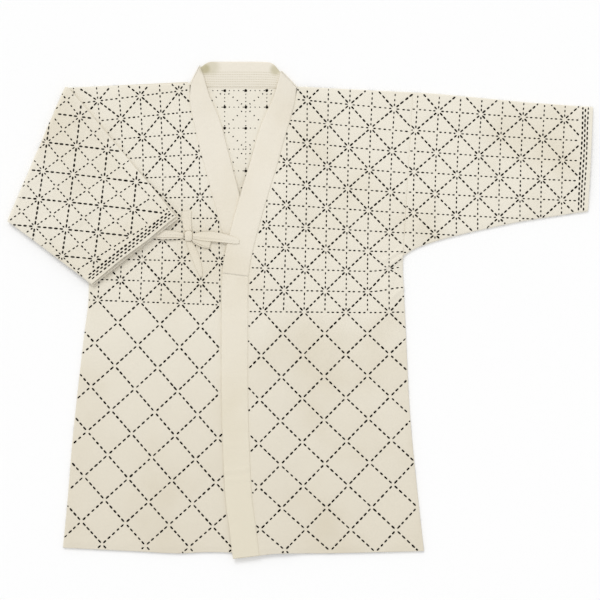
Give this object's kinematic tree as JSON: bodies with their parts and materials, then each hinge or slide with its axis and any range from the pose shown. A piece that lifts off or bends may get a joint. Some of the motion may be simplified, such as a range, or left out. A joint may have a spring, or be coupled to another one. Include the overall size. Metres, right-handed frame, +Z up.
{
  "type": "kendo jacket",
  "caption": "Kimono-style martial arts jacket laid flat, with quilted stitching, a crossed collar band, tied chest cords and a sleeve folded over the front.",
  "frame": {"origin": "middle of the footprint, on the surface that the jacket lies on", "axes": "+X from the jacket's right sleeve to its left sleeve, +Y from hem to collar, +Z up out of the surface"},
  "size_m": [1.054, 0.8949, 0.0165],
  "materials": {
    "sashiko_cloth": "matt natural cotton, two layers, quilted",
    "band_cloth": "matt natural cotton twill, machine stitched",
    "stitch_thread": "soft black cotton thread",
    "band_thread": "natural cotton sewing thread"
  },
  "bodies": {
    "root": {"back": "sashiko_cloth", "right_front": "sashiko_cloth", "left_front": "sashiko_cloth", "right_sleeve": "sashiko_cloth", "left_sleeve": "sashiko_cloth", "collar": "band_cloth", "right_band": "band_cloth", "left_band": "band_cloth", "knot": "band_cloth", "tie_left": "band_cloth", "tie_right": "band_cloth", "tail": "band_cloth", "loop_left": "band_cloth", "loop_right": "band_cloth"}
  },
  "joints": []
}
